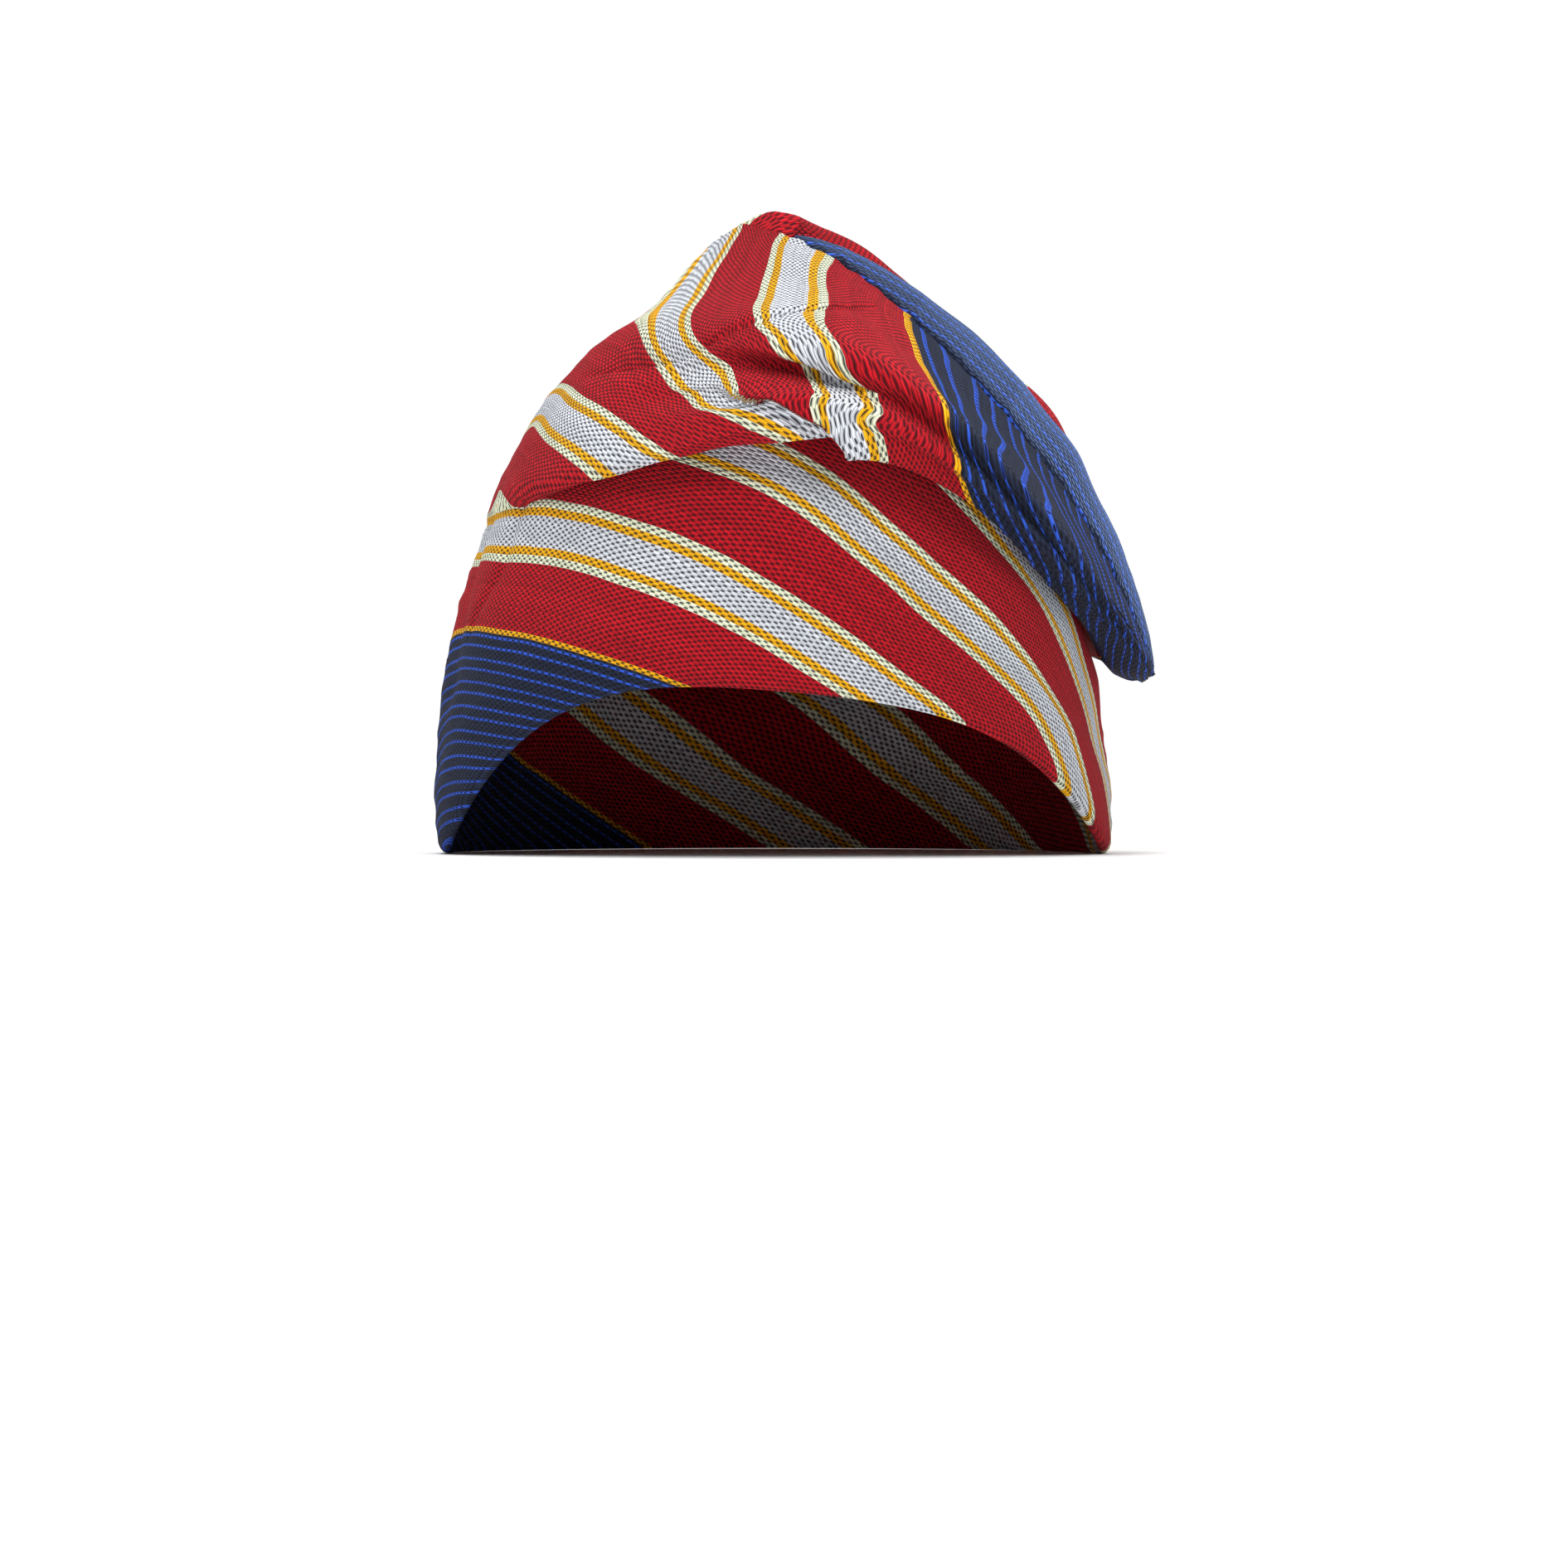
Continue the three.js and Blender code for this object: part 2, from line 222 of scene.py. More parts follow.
def strip_share(angle):
    """The crest strip's width at an angle, as a share of its full width."""
    share = ((1 - np.cos(angle)) / 2 - STRIP_START) / (1 - STRIP_START)
    return np.sin(np.pi * np.clip(share, 0, 1)) ** STRIP_BLUNT


def back_crest(angle):
    return front_point(angle, 1.0) + stack(0.0, STRIP_WIDTH * strip_share(angle), 0.0)


def back_ring(angle, level):
    rises = [0, column("left_rise", level), column("back_rise", level),
             column("right_rise", level), 0]
    rise = along_stations(rises, angle) * HEIGHT
    left_x, right_x = column("left_x", level), column("right_x", level)
    left_z, right_z = column("left_z", level), column("right_z", level)
    half_x, half_z = (right_x - left_x) / 2 * HALF_WIDTH, (right_z - left_z) / 2 * HEIGHT
    chord = np.hypot(half_x, half_z)
    x = (left_x + right_x) / 2 * HALF_WIDTH - np.cos(angle) * half_x - rise * half_z / chord
    z = (left_z + right_z) / 2 * HEIGHT - np.cos(angle) * half_z + rise * half_x / chord
    depth = ear_line(angle, level) + column("back_y", level) * np.sin(angle)
    return stack(x, depth * HALF_DEPTH, np.maximum(0, z))


def back_point(angle, level):
    share = smoothstep(level, LEVELS[-3], 1)[..., None]
    return back_ring(angle, level) + share * (back_crest(angle) - back_ring(angle, 1.0))


print("crest, highest point:", np.round(front_point(0.6, 1.0), 1), "mm")

# %% [markdown]
# ## Distances on the flat cloth
#
# Creases, darts and stripes are all lines drawn on the cloth. A place on it is named by its
# angle in degrees and its level, and each has a fixed size in millimetres of flat cloth. One
# function tells how far any place lies from such a line and on which side.

# %% Distance from a path on the cloth
ROUND_MM = math.pi * (HALF_WIDTH + HALF_DEPTH) / 2 / 180
UP_MM = CLOTH_RUN * HEIGHT


def flat_place(angle, level):
    return stack(np.degrees(angle) * ROUND_MM, level * UP_MM, 0.0)[..., :2]


def path_distance(path, angle, level):
    """Distance to a path of (degrees, level) places, positive above it, and the share along."""
    spots = flat_place(*(np.radians([p[0] for p in path]), np.array([p[1] for p in path])))
    place = flat_place(angle, level)
    lengths = np.linalg.norm(np.diff(spots, axis=0), axis=1)
    nearest, share = np.full(place.shape[:-1], 1e9), np.zeros(place.shape[:-1])
    for i, length in enumerate(lengths):
        way = (spots[i + 1] - spots[i]) / length
        off = place - spots[i]
        walked = np.clip(off @ way, 0, length)
        side = np.sign(way[0] * off[..., 1] - way[1] * off[..., 0])
        apart = side * np.linalg.norm(off - walked[..., None] * way, axis=-1)
        nearer = np.abs(apart) < np.abs(nearest)
        nearest = np.where(nearer, apart, nearest)
        share = np.where(nearer, (lengths[:i].sum() + walked) / lengths.sum(), share)
    return nearest, share


print("one degree is", round(ROUND_MM, 2), "mm of cloth, one level", round(UP_MM, 1), "mm")

# %% [markdown]
# ## Ledges: where the cloth lies over itself
#
# A ledge is a sharp fold line: the cloth on one side stands proud and the other side falls
# back under it. Some cloth is caught inside, as in a dressmaker's dart, so the stripes slip
# along the ledge and white meets red. The big one runs from the top of the roll to the brow.

# %% The table of ledges
LEDGES = (
    # name, path, mm above, mm below, fade in mm, slip in mm, share to ramp up, share to close
    ("dart", ((62, 0.69), (80, 0.617), (98, 0.555)), 3.8, -2.8, 10, 32, 1.0, 0.0),
    ("lobe over roll", ((58, 0.734), (80, 0.728), (100, 0.706)), 3.6, -2.6, 8, 0, 0.35, 0.35),
    ("roll under lobe", ((18, 0.7), (40, 0.713), (56, 0.734)), -2.6, 1.6, 7, 0, 0.3, 0.3),
    ("shelf crease", ((52, 0.741), (61, 0.785), (66, 0.85), (67, 0.93)), 0.5, -0.6, 4,
     -0.8, 0.1, 0.2),
)
SLIP_FADE = 30.0
STEP_WIDTH = 1.0


def ledge_taper(share, ramp, close):
    taper = np.clip(share / ramp, 0, 1)
    return taper * np.clip((1 - share) / close, 0, 1) if close else taper


def ledge_slip(angle, level):
    """How far the ledges move the stripes, half of the slip to each side."""
    total = 0
    for _, path, _, _, _, slip, ramp, close in LEDGES:
        off, share = path_distance(path, angle, level)
        fade = np.exp(-np.abs(off) / SLIP_FADE)
        total = total + slip / 2 * ledge_taper(share, ramp, close) * np.sign(off) * fade
    return total


def ledge_relief(angle, level):
    """How far the ledges lift the cloth."""
    total = 0
    for _, path, above, below, fade, _, ramp, close in LEDGES:
        off, share = path_distance(path, angle, level)
        step = below + (above - below) * smoothstep(off, -STEP_WIDTH, STEP_WIDTH)
        total = total + step * ledge_taper(share, ramp, close) * np.exp(-np.abs(off) / fade)
    return total


print(len(LEDGES), "ledges")

# %% [markdown]
# ## Where the stripes run
#
# A woven stripe follows the cloth through every fold, so each panel needs flat cloth
# coordinates: how far across the stripes and how far along them a place lies. The edges of the
# white stripes are lines of one distance across. Their places are read off the real cap, below
# the lip and above it. A spline in space fills in between, eased so that it may miss a place by
# a thread. The hidden cloth behind the lip joins the two, and the ledges add their slips.

# %% The stripes' edges on the front
BAND_LINES = (
    # line, millimetres across, places on it as (degrees, level)
    ("left ear, hem", -8, ((0, 0),)),
    ("left ear, band", 33, ((0, 0.25),)),
    ("gold line", 46, ((0, 0.34), (9, 0.35), (32, 0.271), (48, 0.17), (66, 0.055), (76, 0.005))),
    ("first white, low", 65,
     ((0, 0.43), (10, 0.43), (36, 0.369), (52, 0.286), (66, 0.203), (78, 0.133), (100, 0.004))),
    ("first white, high", 82,
     ((0, 0.53), (20, 0.537), (43, 0.459), (57, 0.393), (68, 0.333), (86, 0.228), (103, 0.109),
      (122, 0.01))),
    ("second white, low", 101,
     ((74, 0.42), (81, 0.4), (90, 0.36), (106, 0.234), (115, 0.161), (126, 0.1), (142, 0.015))),
    ("second white, high", 118,
     ((88, 0.436), (98, 0.408), (106, 0.36), (126, 0.238), (138, 0.185), (148, 0.13),
      (155, 0.05))),
    ("third white, low", 137,
     ((120, 0.415), (132, 0.37), (144, 0.271), (156, 0.185), (164, 0.1), (172, 0.01))),
    ("third white, high", 154, ((136, 0.48), (152, 0.4), (163, 0.28), (171, 0.18), (180, 0.07))),
    ("right ear, lip", 172, ((180, 0.5),)),
)
CROWN_LINES = (
    ("left ear, lip", 88, ((0, 0.55),)),
    ("left ear, roll", 117, ((0, 0.69),)),
    ("left ear, lobe", 129, ((0, 0.75),)),
    ("second white, low", 101, ((0, 0.62), (12, 0.644), (25, 0.62), (38, 0.594), (49, 0.557))),
    ("second white, high", 118, ((20, 0.695), (31, 0.67), (42, 0.643), (56, 0.599), (67, 0.558))),
    ("third white, low", 137,
     ((12, 0.79), (30, 0.759), (43, 0.723), (53, 0.681), (60, 0.649), (67, 0.614), (76, 0.586),
      (86, 0.557))),
    ("third white, under the dart", 147, ((66, 0.665), (76, 0.616), (86, 0.584), (94, 0.56))),
    ("third white, middle", 146, ((24, 0.86), (19, 0.905))),
    ("third white, high", 154,
     ((18, 0.975), (24, 0.927), (32, 0.864), (36, 0.82), (53, 0.737), (65, 0.716), (68, 0.69))),
    ("third red, over the dart", 165, ((77, 0.705), (84, 0.615))),
    ("fourth white, low", 173,
     ((27, 1.0), (30, 0.965), (44, 0.884), (57, 0.79), (65, 0.747), (71, 0.733), (82, 0.711),
      (87, 0.65), (91, 0.59))),
    ("fourth white, high", 190,
     ((47, 1.0), (50, 0.97), (60, 0.895), (68, 0.838), (77, 0.778), (84, 0.738), (96, 0.715),
      (102, 0.635), (106, 0.555))),
    ("fifth red, middle", 199.5, ((58, 1.0), (62, 0.943), (90, 0.758), (110, 0.623))),
    ("gold line", 209,
     ((64, 1.0), (72, 0.944), (84, 0.89), (96, 0.81), (105, 0.75), (113, 0.69), (121, 0.56))),
    ("blue, middle", 220, ((86, 1.0), (91, 0.97), (104, 0.889), (124, 0.701), (134, 0.562))),
    ("blue, right", 231,
     ((103, 1.0), (106, 0.975), (113, 0.943), (122, 0.889), (134, 0.759), (145, 0.657))),
    ("blue, tip", 240, ((119, 0.983), (127, 0.932), (138, 0.843), (152, 0.694))),
    ("tip, low", 244, ((180, 0.56),)),
    ("tip, middle", 257, ((180, 0.75),)),
    ("tip, high", 263, ((180, 1.0),)),
)
SPLINE_EASE = 1500.0


def no_slip(angle, level):
    return 0.0


def spline(rows, slip, angle, level):
    """The eased spline in space through a table's places, less the slip there."""
    spots = [(math.radians(d), v, across) for _, across, places in rows for d, v in places]
    spot_angle, spot_level, across = np.array(spots).T
    spot = front_point(spot_angle, spot_level)
    goal = across - slip(spot_angle, spot_level)

    def bend(place):
        return np.linalg.norm(place[..., None, :] - spot, axis=-1) ** 3

    def slope(place):
        return np.concatenate([np.ones_like(place[..., :1]), place], axis=-1)

    side = slope(spot)
    eased = bend(spot) + SPLINE_EASE * np.eye(len(spot))
    table = np.block([[eased, side], [side.T, np.zeros((4, 4))]])
    weight = np.linalg.solve(table, np.concatenate([goal, np.zeros(4)]))
    place = front_point(np.asarray(angle, float), np.asarray(level, float))
    return bend(place) @ weight[:-4] + slope(place) @ weight[-4:]


def front_across(angle, level):
    band = spline(BAND_LINES, no_slip, angle, level)
    crown = spline(CROWN_LINES, ledge_slip, angle, level) + ledge_slip(angle, level)
    hidden = smoothstep(level, TUCK, LIP)
    return band + hidden * (crown - band)


print("across at the brow's hem:", round(float(front_across(math.pi / 2, 0.0)), 1), "mm")

# %% [markdown]
# The back can't be seen on the real cap from the front, apart from the ridge behind the crest.
# Its panel is cut the same. At both ears the distance across takes the values of the front, so
# that the stripes meet at the seams. In between it grows steadily from one ear to the other,
# and above the lip more slowly at first, so that the blue stays at the tip.

# %% The stripes on the back
BAND_POWER = 1.05
CROWN_POWER = 1.3


def back_across(angle, level):
    power = BAND_POWER + (CROWN_POWER - BAND_POWER) * smoothstep(level, TUCK, ROLL)
    left, right = front_across(0.0, level), front_across(math.pi, level)
    return left + (right - left) * (angle / math.pi) ** power


print("across at the nape's hem:", round(float(back_across(math.pi / 2, 0.0)), 1), "mm")

# %% [markdown]
# ## Along the stripes
#
# The second cloth coordinate has to grow by a millimetre for each millimetre along a stripe, or
# the weave would stretch. On a folded sheet no formula does that everywhere, so the best fit is
# found: the values whose steps between neighbouring points come closest to the real distances
# along the stripe. It is a least-squares problem, solved by conjugate gradients.

# %% Fit the coordinate along the stripes
FIT_ROUNDS = 900
SHORTEST_STEP = 0.02
TINY = 1e-9


def unit(vectors):
    return vectors / np.maximum(np.linalg.norm(vectors, axis=-1, keepdims=True), TINY)


def stripe_direction(points, across):
    """The unit direction along the stripe at each point of a grid."""
    du, dv = np.gradient(points, axis=0), np.gradient(points, axis=1)
    normal = np.cross(du, dv)
    size = np.maximum(np.linalg.norm(normal, axis=-1, keepdims=True), TINY)
    normal = normal / size
    qu, qv = np.gradient(across, axis=0)[..., None], np.gradient(across, axis=1)[..., None]
    slope = (qu * np.cross(dv, normal) + qv * np.cross(normal, du)) / size
    return np.cross(normal, unit(slope))


def along_cloth(points, across):
    """Values whose steps fit the distances along the stripes over the whole grid."""
    direction = stripe_direction(points, across)
    steps = []
    for axis in (0, 1):
        edge = np.diff(points, axis=axis)
        take = (slice(1, None), slice(None)) if axis == 0 else (slice(None), slice(1, None))
        drop = (slice(None, -1), slice(None)) if axis == 0 else (slice(None), slice(None, -1))
        target = (edge * (direction[take] + direction[drop]) / 2).sum(-1)
        steps.append((axis, take, drop, target, np.linalg.norm(edge, axis=-1)))
    width = np.linalg.norm(np.gradient(points, axis=0), axis=-1)
    rise = np.linalg.norm(np.gradient(points, axis=1), axis=-1)
    weights = []
    for axis, take, drop, target, length in steps:
        beside = rise if axis == 0 else width
        weights.append((beside[take] + beside[drop]) / 2 / np.maximum(length, SHORTEST_STEP))

    def spread(value):
        out = np.zeros_like(value)
        for (axis, take, drop, _, _), weight in zip(steps, weights):
            flow = weight * np.diff(value, axis=axis)
            out[take] += flow
            out[drop] -= flow
        return out

    goal, diagonal = np.zeros(across.shape), np.zeros(across.shape)
    for (axis, take, drop, target, _), weight in zip(steps, weights):
        goal[take] += weight * target
        goal[drop] -= weight * target
        diagonal[take] += weight
        diagonal[drop] += weight
    middle = across.shape[0] // 2
    value = np.zeros(across.shape)
    value[middle, 1:] = np.cumsum(steps[1][3][middle])
    value[middle + 1:] = value[middle] + np.cumsum(steps[0][3][middle:], axis=0)
    value[:middle] = value[middle] - np.cumsum(steps[0][3][:middle][::-1], axis=0)[::-1]
    rest = goal - spread(value)
    scaled = rest / diagonal
    search = scaled.copy()
    power = (rest * scaled).sum()
    for _ in range(FIT_ROUNDS):
        moved = spread(search)
        length = power / (search * moved).sum()
        value += length * search
        rest -= length * moved
        scaled = rest / diagonal
        power, before = (rest * scaled).sum(), power
        search = scaled + power / before * search
    print("fit left over:", round(float(np.sqrt((rest**2).mean())), 5))
    return value

# %% [markdown]
# ## Fine relief
#
# The table holds the big folds. What makes cloth look soft is smaller: puckers where a seam
# draws it in, a flat crease from the shelf, a turned edge that is fuller than the band, and slow
# waves everywhere. On the back, two low swells fill the cloth behind the crest. Each is one
# small function that moves the sheet by a few millimetres at most, so each can be judged and
# changed alone.

# %% Waves, creases and puckers
CREASES = (
    # name, path of (degrees, level) places, depth in mm, half width in mm
    ("roll dimple", ((52, 0.69), (66, 0.65), (76, 0.61)), 3.0, 7.5),
    ("left dart", ((9, 0.45), (16, 0.25)), 1.6, 8.0),
    ("left press line", ((34, 0.49), (32, 0.37), (24, 0.3)), 0.9, 3.0),
    ("ear press line", ((12, 0.5), (20, 0.3)), 0.5, 2.2),
    ("shelf crease", ((52, 0.741), (61, 0.785), (66, 0.85), (67, 0.93)), 0.8, 1.4),
    ("under the lip", ((96, 0.44), (120, 0.41), (140, 0.4)), 1.5, 9.0),
    ("band press line", ((108, 0.1), (118, 0.36)), 0.4, 5.0),
)
SWELLS = (
    # name, (degrees, level) of its middle on the back, height in mm, half width in mm
    ("ridge behind the crest", (27, 0.95), 4.2, 20.0),
    ("swell behind the strip", (100, 0.86), 3.5, 22.0),
)
WAVES_IN_SUM = 14
WAVE_STRETCH = (0.7, 1.4)
PUCKER_LENGTHS = (5.5, 7.9, 11.3)
PUCKER_TURN = 6.3
PUCKER_FADE = 5


def crease_depth(angle, level):
    total = 0
    for _, path, depth, reach in CREASES:
        off, _ = path_distance(path, angle, level)
        total = total + depth * np.exp(-((off / reach) ** 2))
    return total


def swell_height(angle, level):
    total = 0
    for _, middle, height, reach in SWELLS:
        off = flat_place(angle, level) - flat_place(math.radians(middle[0]), middle[1])
        total = total + height * np.exp(-(off**2).sum(-1) / reach**2)
    return total


def slow_waves(points, seed, length):
    """Soft three-dimensional waves of about one length, mostly between -1 and 1."""
    chance = np.random.default_rng(seed)
    total = 0
    for _ in range(WAVES_IN_SUM):
        way = unit(chance.normal(size=3))
        phase, stretch = chance.uniform(0, 2 * math.pi), chance.uniform(*WAVE_STRETCH)
        total = total + np.sin(points @ way * 2 * math.pi / (length * stretch) + phase)
    return total / math.sqrt(WAVES_IN_SUM)


def pucker(from_seam, along_seam, seed):
    """Short wrinkles that run away from a seam and fade within a few millimetres."""
    chance = np.random.default_rng(seed)
    wave = 0
    for length in PUCKER_LENGTHS:
        wave = wave + np.sin(along_seam * 2 * math.pi / length + chance.uniform(0, PUCKER_TURN))
    return wave / len(PUCKER_LENGTHS) * np.exp(-from_seam / PUCKER_FADE)


def round_off(from_edge, radius):
    """How far a rounded edge falls back, from nothing at radius to radius at the edge."""
    t = 1 - np.clip(from_edge / radius, 0, 1)
    return radius * (1 - np.sqrt(1 - t**2))


print(len(CREASES), "creases and", len(SWELLS), "swells")

# %% [markdown]
# ## A panel as a mesh
#
# A grid of points runs from ear to ear and from hem to crest, closer together at the edges, so
# that they can be rounded. The cloth gets its second face by stepping inwards along the normal.
# In a tight fold near the other panel, the inner face stops halfway, as pressed cloth does.

# %% Grids
ANGLE_STEPS = 232
LEVEL_FACTOR = 5
EDGE_ANGLES = (0.0, 0.003, 0.007, 0.012)
HEM_LEVELS = (0.0, 0.0008, 0.003, 0.007, 0.012)
CREST_LEVELS = (0.994, 0.9965, 0.9985, 0.9996, 1.0)
FIRST_INNER_ANGLE = 0.022
HEM_GAP = 0.003
CREST_GAP = 0.002
SEAM_ROUND = 1.5
HEM_ROUND = 1.35


def angle_grid():
    inner = np.linspace(FIRST_INNER_ANGLE, math.pi - FIRST_INNER_ANGLE, ANGLE_STEPS)
    edge = np.array(EDGE_ANGLES)
    return np.concatenate([edge, inner, (math.pi - edge)[::-1]])


def level_grid():
    steps = []
    for i, facets in enumerate(TABLE["facets"][:-1]):
        count = int(facets) * LEVEL_FACTOR
        steps.append(np.linspace(LEVELS[i], LEVELS[i + 1], count, endpoint=False))
    inner = np.concatenate(steps)
    inner = inner[(inner > HEM_LEVELS[-1] + HEM_GAP) & (inner < CREST_LEVELS[0] - CREST_GAP)]
    return np.concatenate([HEM_LEVELS, inner, CREST_LEVELS])


def run_length(points, axis):
    """The distance walked from the grid's first line, along an axis."""
    step = np.linalg.norm(np.diff(points, axis=axis), axis=-1)
    zero = np.zeros_like(np.take(step, [0], axis=axis))
    return np.concatenate([zero, np.cumsum(step, axis=axis)], axis=axis)


angles, levels = angle_grid(), level_grid()
A, V = np.meshgrid(angles, levels, indexing="ij")
print("grid", A.shape, "so", 4 * A.size, "triangles a panel")

# %% Which way is inside, and how far
END_LEAN_POWER = 5
FULL_TURN_FROM = 2 / 3
FRONT_SEED = 11
BACK_SEED = 23
# The heights of waves, puckers and the turned hem, and the widths over which they fade, in mm
WAVES = (
    # height, length
    (0.8, 60),
    (0.25, 22),
)
WAVE_FADE = 25
CREST_PUCKER = 0.7
EAR_PUCKER = 0.5
HEM_FULLNESS = 0.7
HEM_SLOPE = 8
HEM_EDGE = 3
HEM_TURN = 2
SWELL_EDGE = 5


def under_crest(angle, side):
    """From the crest seams into the hollow, and away from the two ends."""
    along = front_point(math.pi, 1.0) - front_point(0.0, 1.0)
    along = unit(along * np.array([1, 0, 1]))
    lean = along * np.cos(angle)[..., None] ** END_LEAN_POWER
    into = np.array([along[2], 0, -along[0]]) + lean
    turn = side * np.minimum(1, strip_share(angle) / FULL_TURN_FROM)
    into[..., 1] = turn
    return unit(into)


def inward(points, front):
    round_step, up_step = np.gradient(points, axis=0), np.gradient(points, axis=1)
    return unit(np.cross(up_step, round_step) * (1 if front else -1))


def panel_faces(front):
    """The outer and inner face of a panel, and its two cloth coordinates."""
    sheet = front_point(A, V) if front else back_point(A, V)
    across = (front_across if front else back_across)(A, V)
    into = inward(sheet, front)
    share = smoothstep(V, LEVELS[-2], 1)[..., None]
    into = unit(into + share * (under_crest(A, 1 if front else -1) - into))
    up, round_ = run_length(sheet, 1), run_length(sheet, 0)
    from_crest, from_right = up[:, -1:] - up, round_[-1:] - round_
    from_ear = np.minimum(round_, from_right)
    seed = FRONT_SEED if front else BACK_SEED
    relief = sum(
        height * slow_waves(sheet, seed + i, length) for i, (height, length) in enumerate(WAVES)
    )
    relief *= smoothstep(np.minimum(np.minimum(up, from_crest), from_ear), 0, WAVE_FADE)
    relief += CREST_PUCKER * pucker(from_crest, round_, seed + 2)
    relief += EAR_PUCKER * pucker(from_ear, up, seed + 3)
    hem_slope = smoothstep(-up, -HEM_DEPTH, -HEM_DEPTH + HEM_SLOPE)
    relief += HEM_FULLNESS * hem_slope * smoothstep(up, 0, HEM_EDGE)
    if front:
        relief += ledge_relief(A, V) - crease_depth(A, V)
    else:
        relief += swell_height(A, V) * smoothstep(from_crest, 0, SWELL_EDGE)
    fall = np.maximum(round_off(from_crest, SEAM_ROUND), round_off(from_ear, SEAM_ROUND))
    hem = round_off(up, HEM_ROUND)
    outer = sheet + into * (fall + hem - relief)[..., None]
    turned = 1 - smoothstep(up, HEM_DEPTH - HEM_TURN, HEM_DEPTH)
    wall = CLOTH + (HEM_CLOTH - CLOTH) * turned
    inner = sheet + into * (wall - hem - np.minimum(relief, 0))[..., None]
    halfway = (front_point(A, V)[..., 1] + back_point(A, V)[..., 1]) / 2
    side = -1 if front else 1
    inner[..., 1] = side * np.maximum(side * inner[..., 1], side * halfway)
    outer[..., 2], inner[..., 2] = np.maximum(outer[..., 2], 0), np.maximum(inner[..., 2], 0)
    return outer, inner, along_cloth(sheet, across), across


panels = {name: panel_faces(name == "front_panel") for name in ("front_panel", "back_panel")}
print("front panel, lowest and highest:", panels["front_panel"][0][..., 2].min().round(2),
      panels["front_panel"][0][..., 2].max().round(2))

# %% [markdown]
# ## Writing a mesh
#
# The two faces and the rim round them make one closed body, so the cloth has a real edge. The
# cloth coordinates go into a UV map in millimetres, which the weave reads later.

# %% From grids to an object
def frame_shift():
    """From the sheet's own coordinates to the frame's, in millimetres."""
    crest = front_point(angles, 1.0) - under_crest(np.array([math.pi / 2]), 0) * (
        STRIP_RISE * strip_share(angles)[:, None])
    both = np.concatenate([
        front_point(A, V).reshape(-1, 3), back_point(A, V).reshape(-1, 3), crest])
    low, high = both.min(0), both.max(0)
    cad_middle = (np.array(cad_low) + np.array(cad_high)) / 2 * 1000
    shift = cad_middle - (low + high) / 2
    shift[2] = cad_low[2] * 1000 - low[2]
    return shift


SHIFT = frame_shift()
print("shift to the frame:", SHIFT.round(2), "mm")


def write_sheet(name, outer, inner, along, across):
    """A closed wall over two grids, with the cloth coordinates as a UV map."""
    count, rows = outer.shape[:2]
    points = np.stack([outer, inner], axis=2).reshape(-1, 3)
    number = np.arange(count * rows * 2).reshape(count, rows, 2)
    out, back = number[..., 0], number[..., 1]

    def quads(a, b, c, d):
        return np.stack([a, b, c, d], axis=-1).reshape(-1, 4)

    faces = np.concatenate([
        quads(out[:-1, :-1], out[1:, :-1], out[1:, 1:], out[:-1, 1:]),
        quads(back[:-1, :-1], back[:-1, 1:], back[1:, 1:], back[1:, :-1]),
        quads(out[:-1, 0], back[:-1, 0], back[1:, 0], out[1:, 0]),
        quads(out[:-1, -1], out[1:, -1], back[1:, -1], back[:-1, -1]),
        quads(out[0, :-1], out[0, 1:], back[0, 1:], back[0, :-1]),
        quads(out[-1, :-1], back[-1, :-1], back[-1, 1:], out[-1, 1:]),
    ])
    mesh = bpy.data.meshes.new(name)
    mesh.from_pydata(((points + SHIFT) / 1000).tolist(), [], faces.tolist())
    layer = mesh.uv_layers.new(name="cloth")
    flat = np.stack([along, across], axis=-1)
    flat = np.repeat(flat[:, :, None, :], 2, axis=2).reshape(-1, 2)
    layer.data.foreach_set("uv", flat[faces.ravel()].astype(np.float32).ravel())
    mesh.shade_smooth()
    piece = bpy.data.objects.new(name, mesh)
    bpy.context.scene.collection.objects.link(piece)
    print(name, len(faces) * 2, "triangles")
    return piece


front = write_sheet("front_cloth", *panels["front_panel"])
back = write_sheet("back_cloth", *(grid[::-1] for grid in panels["back_panel"]))

# %% [markdown]
# ## The crest strip
#
# A narrow blue strip lies between the two crest seams and is pushed up by the seam allowances
# below it. It runs to a point at both ends. Across, it is a low arch that starts steeply, so
# that a dark groove shows along each seam.

# %% Model the strip
STRIP_ANGLES = 220
STRIP_ACROSS = 34
STRIP_THREADS_AT = 260.0
STRIP_END_GAP = 0.004
STRIP_ARCH = 0.85
STRIP_PUCKER = 0.6
STRIP_WAVE = 0.5
STRIP_WAVE_LENGTH = 18
STRIP_SEED = 41
PUFF_WIDTHS = (0.1, 0.6)


